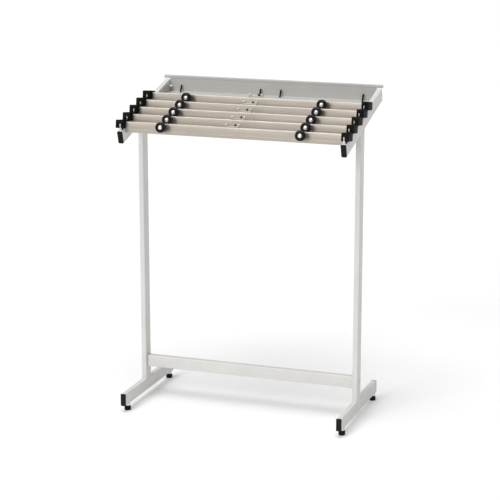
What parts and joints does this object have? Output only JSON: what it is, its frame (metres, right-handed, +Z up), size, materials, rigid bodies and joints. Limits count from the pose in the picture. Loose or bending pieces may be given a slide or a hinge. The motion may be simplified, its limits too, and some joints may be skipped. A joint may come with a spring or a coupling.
{
  "type": "newspaper rack",
  "caption": "Free-standing steel rack on two T-shaped feet with lift-off newspaper clamps between sloping arms and a magazine tray behind them.",
  "frame": {"origin": "on the floor under the middle of the overall width and depth", "axes": "+X to the reader's right, +Y to the back where the magazine tray is, +Z up"},
  "size_m": [0.6, 0.3366, 0.8316],
  "materials": {
    "frame_paint": "light grey powder coat, satin, slightly textured",
    "tray_paint": "light grey powder coat on folded sheet, satin",
    "rail_aluminium": "anodised extrusion with fine lengthwise lines",
    "plated_steel": "zinc-plated screw heads",
    "cap_plastic": "black moulded plastic, fine grain",
    "knob_plastic": "black moulded plastic, smooth, with a bright centre cap",
    "plug_plastic": "black moulded plastic, matt"
  },
  "bodies": {
    "frame": {"left_foot": "frame_paint", "left_post": "frame_paint", "left_arm": "frame_paint", "left_foot_front_plug": "plug_plastic", "left_foot_rear_plug": "plug_plastic", "left_arm_plug": "plug_plastic", "left_bar_screw": "plated_steel", "left_tray_bolt": "plated_steel", "left_inner_peg": "cap_plastic", "left_outer_peg": "cap_plastic", "right_foot": "frame_paint", "right_post": "frame_paint", "right_arm": "frame_paint", "right_foot_front_plug": "plug_plastic", "right_foot_rear_plug": "plug_plastic", "right_arm_plug": "plug_plastic", "right_bar_screw": "plated_steel", "right_tray_bolt": "plated_steel", "right_inner_peg": "cap_plastic", "right_outer_peg": "cap_plastic", "crossbar": "frame_paint", "magazine_tray": "tray_paint"},
    "left_front_glide": {"left_front_glide": "plug_plastic"},
    "left_rear_glide": {"left_rear_glide": "plug_plastic"},
    "right_front_glide": {"right_front_glide": "plug_plastic"},
    "right_rear_glide": {"right_rear_glide": "plug_plastic"},
    "holder_1": {"rear_rail_1": "rail_aluminium", "left_cap_1": "cap_plastic", "right_cap_1": "cap_plastic"},
    "jaw_1": {"front_rail_1": "rail_aluminium"},
    "left_knob_1": {"left_knob_1": "knob_plastic"},
    "right_knob_1": {"right_knob_1": "knob_plastic"},
    "holder_2": {"rear_rail_2": "rail_aluminium", "left_cap_2": "cap_plastic", "right_cap_2": "cap_plastic"},
    "jaw_2": {"front_rail_2": "rail_aluminium"},
    "left_knob_2": {"left_knob_2": "knob_plastic"},
    "right_knob_2": {"right_knob_2": "knob_plastic"},
    "holder_3": {"rear_rail_3": "rail_aluminium", "left_cap_3": "cap_plastic", "right_cap_3": "cap_plastic"},
    "jaw_3": {"front_rail_3": "rail_aluminium"},
    "left_knob_3": {"left_knob_3": "knob_plastic"},
    "right_knob_3": {"right_knob_3": "knob_plastic"},
    "holder_4": {"rear_rail_4": "rail_aluminium", "left_cap_4": "cap_plastic", "right_cap_4": "cap_plastic"},
    "jaw_4": {"front_rail_4": "rail_aluminium"},
    "left_knob_4": {"left_knob_4": "knob_plastic"},
    "right_knob_4": {"right_knob_4": "knob_plastic"},
    "holder_5": {"rear_rail_5": "rail_aluminium", "left_cap_5": "cap_plastic", "right_cap_5": "cap_plastic"},
    "jaw_5": {"front_rail_5": "rail_aluminium"},
    "left_knob_5": {"left_knob_5": "knob_plastic"},
    "right_knob_5": {"right_knob_5": "knob_plastic"}
  },
  "joints": [
    {"name": "left_front_glide_turn", "type": "hinge", "parent": "frame", "child": "left_front_glide", "pos_m": [-0.28825, -0.13944, 0], "axis": [0, 0, 1], "continuous": true},
    {"name": "left_rear_glide_turn", "type": "hinge", "parent": "frame", "child": "left_rear_glide", "pos_m": [-0.28825, 0.14556, 0], "axis": [0, 0, 1], "continuous": true},
    {"name": "right_front_glide_turn", "type": "hinge", "parent": "frame", "child": "right_front_glide", "pos_m": [0.28825, -0.13944, 0], "axis": [0, 0, 1], "continuous": true},
    {"name": "right_rear_glide_turn", "type": "hinge", "parent": "frame", "child": "right_rear_glide", "pos_m": [0.28825, 0.14556, 0], "axis": [0, 0, 1], "continuous": true},
    {"name": "holder_1_lift", "type": "slide", "parent": "frame", "child": "holder_1", "axis": [0, 0, 1], "range_m": [0, 0.12]},
    {"name": "jaw_1_slide", "type": "slide", "parent": "holder_1", "child": "jaw_1", "axis": [0, -0.9903, 0.1392], "range_m": [-0.005, 0.0025]},
    {"name": "left_knob_1_turn", "type": "hinge", "parent": "jaw_1", "child": "left_knob_1", "pos_m": [-0.18, -0.13771, 0.74363], "axis": [0, -0.9903, 0.1392], "range_deg": [-1800, 900]},
    {"name": "right_knob_1_turn", "type": "hinge", "parent": "jaw_1", "child": "right_knob_1", "pos_m": [0.18, -0.13771, 0.74363], "axis": [0, -0.9903, 0.1392], "range_deg": [-1800, 900]},
    {"name": "holder_2_lift", "type": "slide", "parent": "frame", "child": "holder_2", "axis": [0, 0, 1], "range_m": [0, 0.12]},
    {"name": "jaw_2_slide", "type": "slide", "parent": "holder_2", "child": "jaw_2", "axis": [0, -0.9903, 0.1392], "range_m": [-0.005, 0.0025]},
    {"name": "left_knob_2_turn", "type": "hinge", "parent": "jaw_2", "child": "left_knob_2", "pos_m": [-0.18, -0.09451, 0.75598], "axis": [0, -0.9903, 0.1392], "range_deg": [-1800, 900]},
    {"name": "right_knob_2_turn", "type": "hinge", "parent": "jaw_2", "child": "right_knob_2", "pos_m": [0.18, -0.09451, 0.75598], "axis": [0, -0.9903, 0.1392], "range_deg": [-1800, 900]},
    {"name": "holder_3_lift", "type": "slide", "parent": "frame", "child": "holder_3", "axis": [0, 0, 1], "range_m": [0, 0.12]},
    {"name": "jaw_3_slide", "type": "slide", "parent": "holder_3", "child": "jaw_3", "axis": [0, -0.9903, 0.1392], "range_m": [-0.005, 0.0025]},
    {"name": "left_knob_3_turn", "type": "hinge", "parent": "jaw_3", "child": "left_knob_3", "pos_m": [-0.18, -0.05131, 0.76833], "axis": [0, -0.9903, 0.1392], "range_deg": [-1800, 900]},
    {"name": "right_knob_3_turn", "type": "hinge", "parent": "jaw_3", "child": "right_knob_3", "pos_m": [0.18, -0.05131, 0.76833], "axis": [0, -0.9903, 0.1392], "range_deg": [-1800, 900]},
    {"name": "holder_4_lift", "type": "slide", "parent": "frame", "child": "holder_4", "axis": [0, 0, 1], "range_m": [0, 0.12]},
    {"name": "jaw_4_slide", "type": "slide", "parent": "holder_4", "child": "jaw_4", "axis": [0, -0.9903, 0.1392], "range_m": [-0.005, 0.0025]},
    {"name": "left_knob_4_turn", "type": "hinge", "parent": "jaw_4", "child": "left_knob_4", "pos_m": [-0.18, -0.00811, 0.78067], "axis": [0, -0.9903, 0.1392], "range_deg": [-1800, 900]},
    {"name": "right_knob_4_turn", "type": "hinge", "parent": "jaw_4", "child": "right_knob_4", "pos_m": [0.18, -0.00811, 0.78067], "axis": [0, -0.9903, 0.1392], "range_deg": [-1800, 900]},
    {"name": "holder_5_lift", "type": "slide", "parent": "frame", "child": "holder_5", "axis": [0, 0, 1], "range_m": [0, 0.12]},
    {"name": "jaw_5_slide", "type": "slide", "parent": "holder_5", "child": "jaw_5", "axis": [0, -0.9903, 0.1392], "range_m": [-0.005, 0.0025]},
    {"name": "left_knob_5_turn", "type": "hinge", "parent": "jaw_5", "child": "left_knob_5", "pos_m": [-0.18, 0.03509, 0.79302], "axis": [0, -0.9903, 0.1392], "range_deg": [-1800, 900]},
    {"name": "right_knob_5_turn", "type": "hinge", "parent": "jaw_5", "child": "right_knob_5", "pos_m": [0.18, 0.03509, 0.79302], "axis": [0, -0.9903, 0.1392], "range_deg": [-1800, 900]}
  ],
  "couplings": [
    {"joint": "left_knob_1_turn", "follows": "jaw_1_slide", "rad_per_m": 6283.2},
    {"joint": "right_knob_1_turn", "follows": "jaw_1_slide", "rad_per_m": 6283.2},
    {"joint": "left_knob_2_turn", "follows": "jaw_2_slide", "rad_per_m": 6283.2},
    {"joint": "right_knob_2_turn", "follows": "jaw_2_slide", "rad_per_m": 6283.2},
    {"joint": "left_knob_3_turn", "follows": "jaw_3_slide", "rad_per_m": 6283.2},
    {"joint": "right_knob_3_turn", "follows": "jaw_3_slide", "rad_per_m": 6283.2},
    {"joint": "left_knob_4_turn", "follows": "jaw_4_slide", "rad_per_m": 6283.2},
    {"joint": "right_knob_4_turn", "follows": "jaw_4_slide", "rad_per_m": 6283.2},
    {"joint": "left_knob_5_turn", "follows": "jaw_5_slide", "rad_per_m": 6283.2},
    {"joint": "right_knob_5_turn", "follows": "jaw_5_slide", "rad_per_m": 6283.2}
  ]
}
